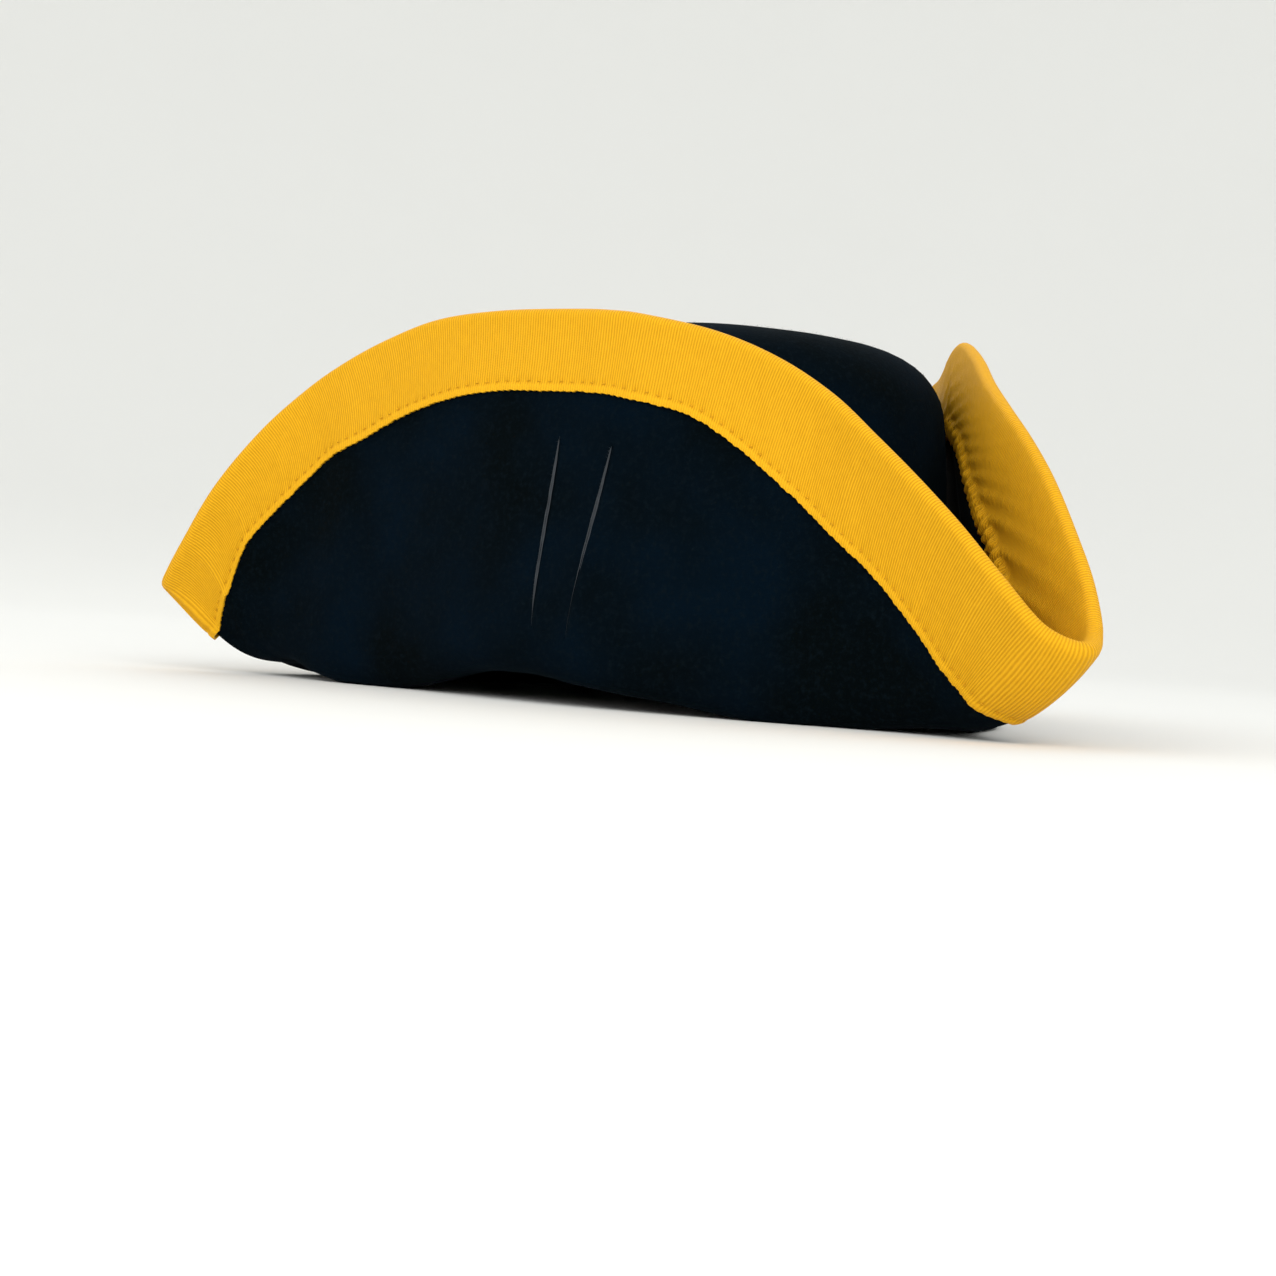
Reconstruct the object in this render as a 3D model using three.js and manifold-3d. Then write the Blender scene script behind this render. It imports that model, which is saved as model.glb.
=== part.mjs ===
// Tricorn hat: one blocked piece of black wool felt, whose brim is turned up on three sides,
// with a yellow grosgrain ribbon folded over the whole edge of the brim.
// Frame: millimetres, +Z up, the front corner towards -Y, the wearer's left towards +X,
// the origin on the ground below the middle of the hat's box.
import * as THREE from 'three';
import Module from 'manifold-3d';
import { mergeVertices } from 'three/addons/utils/BufferGeometryUtils.js';

// Driving dimensions
const headHalfWidth = 82;        // head oval at the middle of the felt, side to side
const headHalfLength = 100;      // the same oval, front to back
const feltThickness = 2.8;
const crownHeight = 134;         // ground to the top of the crown
const crownFoot = 21;            // height where the crown's wall starts to turn out into the brim
const brimWidth = 150;           // head line to edge, at the middle of a flap
const foldHeight = 0.9;          // middle of the felt above the ground, along the three folds
const foldRoundness = 18;        // how far the felt runs on past a fold before it stands up
const ribbonWidth = 38;          // half of the ribbon, which is folded over the edge
const ribbonThickness = 1;
const ribbonGap = 0.3;           // between the ribbon and the felt
const slitWidth = 1.5;           // at the middle of a slit; it narrows to nothing at both ends
const leftPeakRise = 7;          // the left flap's edge stands this much higher near its front
const leftPeakInward = 8;        // and from there back it stands this much nearer to the crown
const leftPeakLean = 5;          // degrees that it leans out more there

// Where that peak lies, and how far it reaches to the front and to the back, in degrees round
// the head
const leftPeakTurn = 64;
const leftPeakReach = 12;
const leftPeakBackReach = 30;

// How finely the felt is faceted
const stationsPerRow = 2;
const ribbonRings = 3;
const finish = 0.13;             // flatter details than this are joined into one facet

// The brim, a row for each section from the front corner back to the middle of the rear flap.
// turn: where the section leaves the head oval, in degrees from the front.
// fold and rim: where the lowest line and the edge of the brim lie from that point, across and
// back, and how high they stand, as shares of the brim's width. lean: degrees that the felt
// leans out at the edge. leaf: how much of the ribbon's width shows there on either face.
// The left side mirrors the right one.
const brimSections = [
  { turn: 0, foldAcross: 0, foldBack: -0.335, foldUp: 0.015, rimAcross: 0, rimBack: -0.705, rimUp: 0.185, lean: 44, leaf: 0.9 },
  { turn: 5, foldAcross: 0.01, foldBack: -0.315, foldUp: 0.015, rimAcross: 0.015, rimBack: -0.66, rimUp: 0.225, lean: 28, leaf: 0.92 },
  { turn: 11, foldAcross: -0.005, foldBack: -0.285, foldUp: 0.01, rimAcross: 0.01, rimBack: -0.6, rimUp: 0.315, lean: 15, leaf: 0.94 },
  { turn: 18, foldAcross: -0.02, foldBack: -0.255, foldUp: 0.005, rimAcross: -0.02, rimBack: -0.525, rimUp: 0.425, lean: 12, leaf: 0.96 },
  { turn: 25, foldAcross: -0.025, foldBack: -0.23, foldUp: 0.005, rimAcross: -0.05, rimBack: -0.455, rimUp: 0.535, lean: 10, leaf: 0.97 },
  { turn: 32, foldAcross: -0.015, foldBack: -0.205, foldUp: 0, rimAcross: -0.08, rimBack: -0.395, rimUp: 0.625, lean: 8, leaf: 0.96 },
  { turn: 39, foldAcross: 0.005, foldBack: -0.185, foldUp: 0, rimAcross: -0.1, rimBack: -0.335, rimUp: 0.705, lean: 8, leaf: 0.94 },
  { turn: 46, foldAcross: 0.03, foldBack: -0.16, foldUp: 0.005, rimAcross: -0.09, rimBack: -0.275, rimUp: 0.77, lean: 7, leaf: 0.91 },
  { turn: 53, foldAcross: 0.055, foldBack: -0.13, foldUp: 0.01, rimAcross: -0.055, rimBack: -0.215, rimUp: 0.82, lean: 6, leaf: 0.86 },
  { turn: 61, foldAcross: 0.075, foldBack: -0.105, foldUp: 0.02, rimAcross: -0.005, rimBack: -0.155, rimUp: 0.85, lean: 5, leaf: 0.82 },
  { turn: 70, foldAcross: 0.095, foldBack: -0.075, foldUp: 0.025, rimAcross: 0.045, rimBack: -0.09, rimUp: 0.865, lean: 4, leaf: 0.79 },
  { turn: 80, foldAcross: 0.115, foldBack: -0.035, foldUp: 0.025, rimAcross: 0.11, rimBack: -0.03, rimUp: 0.865, lean: 4, leaf: 0.77 },
  { turn: 90, foldAcross: 0.14, foldBack: 0, foldUp: 0.015, rimAcross: 0.175, rimBack: 0.01, rimUp: 0.85, lean: 4, leaf: 0.75 },
  { turn: 98, foldAcross: 0.19, foldBack: 0.035, foldUp: 0, rimAcross: 0.24, rimBack: 0.045, rimUp: 0.815, lean: 5, leaf: 0.74 },
  { turn: 104, foldAcross: 0.25, foldBack: 0.065, foldUp: 0, rimAcross: 0.305, rimBack: 0.08, rimUp: 0.76, lean: 6, leaf: 0.73 },
  { turn: 110, foldAcross: 0.3, foldBack: 0.09, foldUp: 0.005, rimAcross: 0.375, rimBack: 0.115, rimUp: 0.685, lean: 8, leaf: 0.72 },
  { turn: 115, foldAcross: 0.34, foldBack: 0.11, foldUp: 0.015, rimAcross: 0.465, rimBack: 0.15, rimUp: 0.57, lean: 11, leaf: 0.71 },
  { turn: 119, foldAcross: 0.37, foldBack: 0.13, foldUp: 0.025, rimAcross: 0.555, rimBack: 0.19, rimUp: 0.435, lean: 16, leaf: 0.7 },
  { turn: 121, foldAcross: 0.385, foldBack: 0.15, foldUp: 0.025, rimAcross: 0.605, rimBack: 0.24, rimUp: 0.305, lean: 28, leaf: 0.68 },
  { turn: 122.5, foldAcross: 0.39, foldBack: 0.175, foldUp: 0.025, rimAcross: 0.625, rimBack: 0.31, rimUp: 0.205, lean: 42, leaf: 0.67 },
  { turn: 124, foldAcross: 0.38, foldBack: 0.19, foldUp: 0.025, rimAcross: 0.56, rimBack: 0.325, rimUp: 0.305, lean: 28, leaf: 0.68 },
  { turn: 126, foldAcross: 0.36, foldBack: 0.2, foldUp: 0.025, rimAcross: 0.485, rimBack: 0.31, rimUp: 0.42, lean: 16, leaf: 0.7 },
  { turn: 130, foldAcross: 0.32, foldBack: 0.205, foldUp: 0.015, rimAcross: 0.4, rimBack: 0.265, rimUp: 0.545, lean: 10, leaf: 0.71 },
  { turn: 136, foldAcross: 0.27, foldBack: 0.195, foldUp: 0.005, rimAcross: 0.315, rimBack: 0.21, rimUp: 0.655, lean: 7, leaf: 0.72 },
  { turn: 144, foldAcross: 0.215, foldBack: 0.175, foldUp: 0, rimAcross: 0.225, rimBack: 0.15, rimUp: 0.725, lean: 5, leaf: 0.74 },
  { turn: 153, foldAcross: 0.16, foldBack: 0.155, foldUp: 0, rimAcross: 0.155, rimBack: 0.105, rimUp: 0.765, lean: 4, leaf: 0.75 },
  { turn: 162, foldAcross: 0.105, foldBack: 0.135, foldUp: 0, rimAcross: 0.1, rimBack: 0.08, rimUp: 0.785, lean: 3, leaf: 0.76 },
  { turn: 171, foldAcross: 0.055, foldBack: 0.125, foldUp: 0, rimAcross: 0.05, rimBack: 0.065, rimUp: 0.795, lean: 2, leaf: 0.76 },
  { turn: 180, foldAcross: 0, foldBack: 0.12, foldUp: 0, rimAcross: 0, rimBack: 0.06, rimUp: 0.8, lean: 1, leaf: 0.76 },
];

// The crown, a row for each ring from its foot to the top: its height as a share of what stands
// above the foot, and its size as a share of the head oval.
const crownSections = [
  { up: 0, size: 1 },
  { up: 0.55, size: 0.975 },
  { up: 0.76, size: 0.95 },
  { up: 0.85, size: 0.905 },
  { up: 0.915, size: 0.82 },
  { up: 0.96, size: 0.68 },
  { up: 0.985, size: 0.48 },
  { up: 0.997, size: 0.24 },
];

// The two slits in the right flap: where each starts below the ribbon and ends above the fold, as
// shares of the head oval's half length and of the brim's width.
const slits = [
  { topBack: -0.5, topUp: 0.57, footBack: -0.55, footUp: 0.16 },
  { topBack: -0.68, topUp: 0.555, footBack: -0.67, footUp: 0.14 },
];

// Where the rings between the ribbon's edge and the fold lie, and those between the fold and the
// crown's foot
const flapRingShares = [0.32, 0.62, 0.88, 1];
const floorRingShares = [0.11, 0.44, 0.78];

const degrees = Math.PI / 180;
const up = new THREE.Vector3(0, 0, 1);

// Smooth interpolation through the rows

function rowAround(index) {
  const last = brimSections.length - 1;
  const wrapped = ((index % (2 * last)) + 2 * last) % (2 * last);
  const mirrored = wrapped > last;
  const row = brimSections[mirrored ? 2 * last - wrapped : wrapped];
  const side = mirrored ? -1 : 1;
  const fromPeak = (row.turn - leftPeakTurn) / leftPeakReach;
  const pastPeak = (row.turn - leftPeakTurn) / leftPeakBackReach;
  const peak = mirrored ? 0 : Math.exp(-fromPeak * fromPeak);
  const hug = fromPeak < 0 || mirrored ? peak : Math.exp(-pastPeak * pastPeak);
  return {
    ...row,
    rimUp: row.rimUp + (leftPeakRise / brimWidth) * peak,
    lean: row.lean + leftPeakLean * hug,
    turn: (mirrored ? 360 - row.turn : row.turn) + 360 * Math.floor(index / (2 * last)),
    foldAcross: side * row.foldAcross,
    rimAcross: side * row.rimAcross - (leftPeakInward / brimWidth) * hug,
  };
}

function throughFour(a, b, c, d, share) {
  const slopeB = (c - a) / 2;
  const slopeC = (d - b) / 2;
  const s2 = share * share;
  const s3 = s2 * share;
  return b * (2 * s3 - 3 * s2 + 1) + slopeB * (s3 - 2 * s2 + share) + c * (3 * s2 - 2 * s3) + slopeC * (s3 - s2);
}

function sectionAt(position) {
  const index = Math.floor(position);
  const rows = [-1, 0, 1, 2].map((step) => rowAround(index + step));
  const section = {};
  for (const column of Object.keys(brimSections[0])) {
    section[column] = throughFour(...rows.map((row) => row[column]), position - index);
  }
  return section;
}

// Curves of one section of the brim

function headPoint(turn) {
  return new THREE.Vector3(
    headHalfWidth * Math.sin(turn * degrees),
    -headHalfLength * Math.cos(turn * degrees),
    0,
  );
}

function rimPoint(position) {
  const section = sectionAt(position);
  return headPoint(section.turn).add(
    new THREE.Vector3(section.rimAcross, section.rimBack, section.rimUp).multiplyScalar(brimWidth),
  );
}

function sectionCurve(position) {
  const section = sectionAt(position);
  const foot = headPoint(section.turn).setZ(crownFoot);
  const fold = headPoint(section.turn).add(
    new THREE.Vector3(section.foldAcross, section.foldBack, 0).multiplyScalar(brimWidth),
  ).setZ(foldHeight + section.foldUp * brimWidth);
  const rim = rimPoint(position);
  const reach = Math.hypot(fold.x - foot.x, fold.y - foot.y);
  const outward = fold.clone().sub(foot).setZ(0).normalize();
  const footHandle = foot.clone().setZ(crownFoot * 0.45);
  const foldInner = fold.clone().addScaledVector(outward, -reach * 0.5);
  const foldOuter = fold.clone().addScaledVector(outward, foldRoundness);
  const alongRim = rimPoint(position + 0.02).sub(rimPoint(position - 0.02)).normalize();
  const facing = new THREE.Vector3(alongRim.y, -alongRim.x, 0).normalize();
  const rise = up.clone().multiplyScalar(Math.cos(section.lean * degrees));
  rise.addScaledVector(facing, Math.sin(section.lean * degrees));
  rise.addScaledVector(alongRim, -rise.dot(alongRim)).normalize();
  const rimHandle = rim.clone().addScaledVector(rise, -0.38 * fold.distanceTo(rim));
  const curve = new THREE.CurvePath();
  curve.add(new THREE.CubicBezierCurve3(rim, rimHandle, foldOuter, fold));
  curve.add(new THREE.CubicBezierCurve3(fold, foldInner, footHandle, foot));
  return curve;
}

// Rings of the middle surface of the felt, from the edge of the brim to the top of the crown

const stationCount = 2 * (brimSections.length - 1) * stationsPerRow;

function feltSection(station) {
  const curve = sectionCurve(station / stationsPerRow);
  const length = curve.getLength();
  const toFold = curve.curves[0].getLength();
  const { turn, leaf } = sectionAt(station / stationsPerRow);
  const covered = ribbonWidth * leaf;
  const points = [];
  for (let ring = 0; ring <= ribbonRings; ring += 1) {
    points.push(curve.getPointAt((covered * ring) / ribbonRings / length));
  }
  for (const share of flapRingShares) {
    points.push(curve.getPointAt((covered + (toFold - covered) * share) / length));
  }
  for (const share of floorRingShares) {
    points.push(curve.getPointAt((toFold + (length - toFold) * share) / length));
  }
  for (const { up: share, size } of crownSections) {
    const height = crownFoot + (crownHeight - feltThickness / 2 - crownFoot) * share;
    points.push(headPoint(turn).multiplyScalar(size).setZ(height));
  }
  return points;
}

const feltGrid = [];
for (let station = 0; station < stationCount; station += 1) feltGrid.push(feltSection(station));
const crownTop = new THREE.Vector3(0, 0, crownHeight - feltThickness / 2);

// Normals of the grid, pointing out of the crown and, on the flaps, towards the crown

function gridNormals(grid, top) {
  return grid.map((points, station) => points.map((point, ring) => {
    const before = grid[(station + stationCount - 1) % stationCount][ring];
    const after = grid[(station + 1) % stationCount][ring];
    const outer = points[Math.max(ring - 1, 0)];
    const inner = ring + 1 < points.length ? points[ring + 1] : top;
    const around = after.clone().sub(before);
    return around.cross(inner.clone().sub(outer)).normalize();
  }));
}

const feltNormals = gridNormals(feltGrid, crownTop);

function offsetPoint(station, ring, distance) {
  const point = feltGrid[station][ring].clone().addScaledVector(feltNormals[station][ring], distance);
  point.z = Math.max(point.z, 0);
  return point;
}

// A closed shell from an outer and an inner skin. Each is a list of rings round the hat; their
// first rings are joined, and their last ones are joined too or closed each by a point on top.

function shell(outerSkin, innerSkin, outerTop, innerTop) {
  const positions = [];
  const faces = [];
  const addRings = (rings) => rings.map((ring) => ring.map((point) => positions.push(point) - 1));
  const band = (ring, nextRing) => {
    for (let station = 0; station < stationCount; station += 1) {
      const next = (station + 1) % stationCount;
      faces.push(ring[station], ring[next], nextRing[next]);
      faces.push(ring[station], nextRing[next], nextRing[station]);
    }
  };
  const cap = (ring, top, facingUp) => {
    const centre = positions.push(top) - 1;
    for (let station = 0; station < stationCount; station += 1) {
      const next = (station + 1) % stationCount;
      faces.push(...(facingUp ? [ring[station], ring[next], centre] : [ring[next], ring[station], centre]));
    }
  };
  const outer = addRings(outerSkin);
  const inner = addRings(innerSkin);
  for (let ring = 0; ring + 1 < outer.length; ring += 1) band(outer[ring], outer[ring + 1]);
  for (let ring = 0; ring + 1 < inner.length; ring += 1) band(inner[ring + 1], inner[ring]);
  band(inner[0], outer[0]);
  if (outerTop) {
    cap(outer.at(-1), outerTop, true);
    cap(inner.at(-1), innerTop, false);
  } else {
    band(outer.at(-1), inner.at(-1));
  }
  const geometry = new THREE.BufferGeometry();
  const coordinates = positions.flatMap((point) => point.toArray());
  geometry.setAttribute('position', new THREE.Float32BufferAttribute(coordinates, 3));
  geometry.setIndex(faces);
  return geometry;
}

function ringOf(ring, distance) {
  return feltGrid.map((points, station) => offsetPoint(station, ring, distance));
}

function feltShell(clearance) {
  const half = feltThickness / 2 + clearance;
  const rings = feltGrid[0].map((point, ring) => ring);
  return shell(
    rings.map((ring) => ringOf(ring, half)),
    rings.map((ring) => ringOf(ring, -half)),
    crownTop.clone().setZ(crownTop.z + half),
    crownTop.clone().setZ(crownTop.z - half),
  );
}

// The slits are cut through the right flap from side to side

function solidOf(wasm, geometry) {
  geometry.deleteAttribute('normal');
  geometry.deleteAttribute('uv');
  const merged = mergeVertices(geometry);
  return new wasm.Manifold(new wasm.Mesh({
    numProp: 3,
    vertProperties: new Float32Array(merged.attributes.position.array),
    triVerts: new Uint32Array(merged.index.array),
  }));
}

function geometryOf(solid) {
  const mesh = solid.getMesh();
  const geometry = new THREE.BufferGeometry();
  geometry.setAttribute('position', new THREE.BufferAttribute(mesh.vertProperties, 3));
  geometry.setIndex(new THREE.BufferAttribute(mesh.triVerts, 1));
  return geometry;
}

function slitCutter({ topBack, topUp, footBack, footUp }) {
  const top = new THREE.Vector2(topBack * headHalfLength, topUp * brimWidth);
  const foot = new THREE.Vector2(footBack * headHalfLength, footUp * brimWidth);
  const middle = top.clone().add(foot).divideScalar(2);
  const across = new THREE.Vector2(top.y - foot.y, foot.x - top.x).setLength(slitWidth / 2);
  const outline = new THREE.Shape([top, middle.clone().sub(across), foot, middle.clone().add(across)]);
  const depth = headHalfWidth * 0.6;
  const cutter = new THREE.ExtrudeGeometry(outline, { depth, bevelEnabled: false });
  cutter.rotateX(Math.PI / 2);
  cutter.rotateZ(Math.PI / 2);
  cutter.translate(-headHalfWidth * 0.89 - depth, 0, 0);
  return cutter;
}

// The ribbon: a strip that runs up the outer face of the brim, over its edge and down the other

function ribbonShell() {
  const inside = feltThickness / 2 + ribbonGap;
  const outside = inside + ribbonThickness;
  const leaf = feltGrid[0].slice(0, ribbonRings + 1).map((point, ring) => ring);
  const beyondRim = (distance, lift) => feltGrid.map((points, station) => {
    const rise = points[0].clone().sub(points[1]).normalize();
    return offsetPoint(station, 0, distance).addScaledVector(rise, lift);
  });
  const over = (rings, distance) => rings.map((ring) => ringOf(ring, distance));
  const outerSkin = [
    ...over(leaf.toReversed(), -outside),
    beyondRim(-feltThickness / 2, ribbonGap + ribbonThickness),
    beyondRim(feltThickness / 2, ribbonGap + ribbonThickness),
    ...over(leaf, outside),
  ];
  const innerSkin = [
    ...over(leaf.slice(1).toReversed(), -inside),
    beyondRim(-inside, ribbonGap),
    beyondRim(inside, ribbonGap),
    ...over(leaf.slice(1), inside),
  ];
  return shell(outerSkin, innerSkin);
}

// Assembly

const wasm = await Module();
wasm.setup();
let felt = solidOf(wasm, feltShell(0));
// At the tight corners the ribbon is trimmed back to clear the felt
const ribbonPieces = solidOf(wasm, ribbonShell())
  .subtract(solidOf(wasm, feltShell(ribbonGap * 0.85)))
  .decompose();
const ribbon = ribbonPieces.reduce((most, piece) => (piece.volume() > most.volume() ? piece : most)).asOriginal().simplify(finish);
for (const slit of slits) felt = felt.subtract(solidOf(wasm, slitCutter(slit)));
felt = felt.asOriginal().simplify(finish);

const blackFelt = new THREE.MeshStandardMaterial({ color: 0x0b0e14, roughness: 0.95, metalness: 0 });
const yellowRibbon = new THREE.MeshStandardMaterial({ color: 0xe8b224, roughness: 0.75, metalness: 0 });

const hat = new THREE.Group();

function addPiece(name, geometry, material) {
  const mesh = new THREE.Mesh(geometry, material);
  mesh.name = name;
  hat.add(mesh);
}

addPiece('felt_body', geometryOf(felt), blackFelt);
addPiece('edge_binding', geometryOf(ribbon), yellowRibbon);

const box = new THREE.Box3().setFromObject(hat);
const middle = box.getCenter(new THREE.Vector3());
hat.position.set(-middle.x, -middle.y, -box.min.z);

export default hat;
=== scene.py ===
# Black felt tricorn hat: one blocked felt with its brim turned up on three sides, and a golden
# yellow grosgrain ribbon folded over the whole edge of the brim.
# Metres, +Z up, the front corner towards -Y, the wearer's left towards +X.
import math
import random

import bmesh
import bpy
import numpy as np
from bpy.props import (
    FloatProperty,
    FloatVectorProperty,
    IntProperty,
    PointerProperty,
)
from mathutils import Matrix, Vector, noise


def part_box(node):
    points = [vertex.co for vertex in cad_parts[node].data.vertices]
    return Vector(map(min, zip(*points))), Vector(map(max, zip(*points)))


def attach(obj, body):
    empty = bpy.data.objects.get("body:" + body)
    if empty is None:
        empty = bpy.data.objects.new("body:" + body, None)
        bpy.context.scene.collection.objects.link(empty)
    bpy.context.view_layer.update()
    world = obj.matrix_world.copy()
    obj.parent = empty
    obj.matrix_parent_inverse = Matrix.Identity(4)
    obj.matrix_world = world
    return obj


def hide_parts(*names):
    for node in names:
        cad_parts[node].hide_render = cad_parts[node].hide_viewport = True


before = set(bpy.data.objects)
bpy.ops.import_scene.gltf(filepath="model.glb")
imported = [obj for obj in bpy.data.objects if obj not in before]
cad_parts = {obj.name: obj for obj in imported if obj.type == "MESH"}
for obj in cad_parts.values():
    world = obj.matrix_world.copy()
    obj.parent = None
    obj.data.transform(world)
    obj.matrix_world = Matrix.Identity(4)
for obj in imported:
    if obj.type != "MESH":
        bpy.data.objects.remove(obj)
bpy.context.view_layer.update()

bl_info = {
    "name": "Tricorn Hat",
    "version": (1, 0, 0),
    "blender": (4, 5, 0),
    "location": "View3D > Sidebar > Tricorn",
    "description": "Builds a felt tricorn hat bound with grosgrain ribbon",
    "category": "Add Mesh",
}

MILLIMETRE = 0.001

# The brim, a row for each section from the front corner back to the middle of the rear flap.
# turn: where the section leaves the head oval, in degrees from the front.
# Then, as shares of the brim's width and measured from that point: where the fold lies across and
# back and how high it is, and where the edge lies across and back and how high it stands.
# lean: degrees that the felt leans out at the edge. leaf: the share of the ribbon's width that
# shows there on either face. The left side mirrors the right one.
TURN, FOLD_ACROSS, FOLD_BACK, FOLD_UP, RIM_ACROSS, RIM_BACK, RIM_UP, LEAN, LEAF = range(9)
BRIM_SECTIONS = (
    (0, 0, -0.335, 0.015, 0, -0.705, 0.185, 36, 0.9),
    (5, 0.01, -0.315, 0.015, 0.02, -0.665, 0.22, 26, 0.92),
    (11, -0.005, -0.285, 0.01, 0.01, -0.6, 0.315, 15, 0.94),
    (18, -0.02, -0.255, 0.005, -0.02, -0.525, 0.425, 12, 0.96),
    (25, -0.025, -0.23, 0.005, -0.05, -0.455, 0.535, 10, 0.97),
    (32, -0.015, -0.205, 0, -0.08, -0.395, 0.625, 8, 0.96),
    (39, 0.005, -0.185, 0, -0.1, -0.335, 0.705, 8, 0.94),
    (46, 0.03, -0.16, 0.005, -0.09, -0.275, 0.77, 7, 0.91),
    (53, 0.055, -0.13, 0.01, -0.055, -0.215, 0.82, 6, 0.86),
    (61, 0.075, -0.105, 0.02, -0.005, -0.155, 0.85, 5, 0.82),
    (65, 0.085, -0.09, 0.025, 0.02, -0.125, 0.86, 5, 0.8),
    (70, 0.095, -0.075, 0.025, 0.045, -0.09, 0.865, 4, 0.79),
    (80, 0.115, -0.035, 0.025, 0.11, -0.03, 0.865, 4, 0.77),
    (90, 0.14, 0, 0.015, 0.175, 0.01, 0.85, 4, 0.75),
    (98, 0.19, 0.035, 0, 0.24, 0.045, 0.815, 5, 0.74),
    (104, 0.25, 0.065, 0, 0.305, 0.08, 0.76, 6, 0.73),
    (110, 0.3, 0.09, 0.005, 0.375, 0.115, 0.685, 8, 0.72),
    (115, 0.34, 0.11, 0.015, 0.465, 0.15, 0.57, 11, 0.71),
    (119, 0.37, 0.13, 0.025, 0.555, 0.19, 0.435, 16, 0.7),
    (121, 0.385, 0.15, 0.025, 0.605, 0.24, 0.305, 28, 0.68),
    (122.5, 0.39, 0.175, 0.025, 0.625, 0.31, 0.205, 42, 0.67),
    (124, 0.38, 0.19, 0.025, 0.56, 0.325, 0.305, 28, 0.68),
    (126, 0.36, 0.2, 0.025, 0.485, 0.31, 0.42, 16, 0.7),
    (130, 0.32, 0.205, 0.015, 0.4, 0.265, 0.545, 10, 0.71),
    (136, 0.27, 0.195, 0.005, 0.315, 0.21, 0.655, 7, 0.72),
    (144, 0.215, 0.175, 0, 0.225, 0.15, 0.725, 5, 0.74),
    (153, 0.16, 0.155, 0, 0.155, 0.105, 0.765, 4, 0.75),
    (162, 0.105, 0.135, 0, 0.1, 0.08, 0.785, 3, 0.76),
    (171, 0.055, 0.125, 0, 0.05, 0.065, 0.795, 2, 0.76),
    (180, 0, 0.12, 0, 0, 0.06, 0.8, 1, 0.76),
)
# The crown, a row for each ring from its foot to the top: its height as a share of what stands
# above the foot, and its size as a share of the head oval.
CROWN_SECTIONS = (
    (0, 1),
    (0.3, 0.988),
    (0.55, 0.975),
    (0.76, 0.95),
    (0.85, 0.905),
    (0.915, 0.82),
    (0.96, 0.68),
    (0.985, 0.48),
    (0.997, 0.24),
    (1, 0),
)
# The slits in the right flap: where each starts below the ribbon and ends above the fold, back
# from the middle of the head as shares of its half length and up as shares of the brim's width,
# and the share of its length over which its lips stay full.
SLITS = (
    (-0.5, 0.57, -0.55, 0.16, 0.8),
    (-0.68, 0.555, -0.67, 0.14, 0.45),
)
# What sets the left flap apart, by its turn from the front: how much higher its edge stands and
# how much nearer to the crown, as shares of the brim's width, and the degrees it leans out more.
LEFT_FLAP = (
    (0, 0, 0, 0),
    (11, 0, 0.005, 0),
    (18, 0, 0.01, 0),
    (25, -0.005, 0.015, 0),
    (32, -0.01, 0.02, 0),
    (39, -0.015, 0.025, 1),
    (46, -0.015, 0.035, 2),
    (53, 0, 0.045, 3),
    (61, 0.025, 0.06, 5),
    (65, 0.025, 0.065, 5),
    (70, 0, 0.06, 5),
    (80, -0.02, 0.035, 4),
    (90, -0.01, 0.015, 2),
    (98, 0, 0, 0),
    (180, 0, 0, 0),
)
# The same for the right flap: how much lower its edge stands and how much higher its fold, as
# shares of the brim's width, and how much less of the ribbon shows, as a share of its width.
RIGHT_FLAP = (
    (0, 0, 0, 0),
    (11, 0.01, 0, 0.05),
    (18, 0.02, 0, 0.1),
    (25, 0.04, 0, 0.145),
    (32, 0.05, 0, 0.125),
    (39, 0.045, 0.01, 0.11),
    (46, 0.035, 0.02, 0.145),
    (53, 0.03, 0.025, 0.185),
    (61, 0.025, 0.03, 0.155),
    (70, 0.025, 0.04, 0.13),
    (80, 0.025, 0.035, 0.115),
    (90, 0.025, 0.01, 0.06),
    (98, 0.03, 0, 0.04),
    (104, 0.025, 0, 0.02),
    (110, 0.015, 0.01, 0.055),
    (115, 0, 0.025, 0.06),
    (119, 0, 0.02, 0.13),
    (122.5, 0, 0.01, 0),
    (130, 0, 0, 0),
    (180, 0, 0, 0),
)

# How finely the pieces are faceted
FELT_STATIONS = 440
RIBBON_STATIONS = 1420
LEAF_STEPS = 24
RIM_STEPS = 8
CURVE_STEPS = 48
FLAP_RINGS = 30
FLOOR_RINGS = 14
CROWN_RINGS = 26
# Small shapes that are made before they join the rest
BATCH = 60
# Rings of the ribbon's leaf, from the edge of the brim to the hem, closer together at the hem
LEAF_SHARES = 1 - (1 - np.linspace(0, 1, LEAF_STEPS + 1)) ** 1.7

# Degrees from the front to either back corner
BACK_CORNER = 122.5
# Millimetres from one gather of the ribbon to the next, and from one wrinkle to the next
GATHER_PITCH = 5.4
WRINKLE_PITCH = 14.0
# Fibres that stand out of the slits, their radius, and that of the loose fibres
SLIT_HAIRS = 340
HAIR_RADIUS = 0.00006
FIBRE_RADIUS = 0.00003
# The picture's side, and how far right of and above its middle the aim lies, in its own pixels
PICTURE_SIDE = 1276
AIM_RIGHT, AIM_ABOVE = 64, 138


# Sizes and colours that a user would change


def length(name, description, default, **more):
    return FloatProperty(
        name=name, description=description, default=default, unit="LENGTH", precision=4, **more
    )


def angle(name, description, degrees):
    return FloatProperty(
        name=name, description=description, default=math.radians(degrees), subtype="ANGLE"
    )


def colour(name, description, default):
    return FloatVectorProperty(
        name=name, description=description, default=default, size=3, min=0, max=1, subtype="COLOR"
    )


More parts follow.
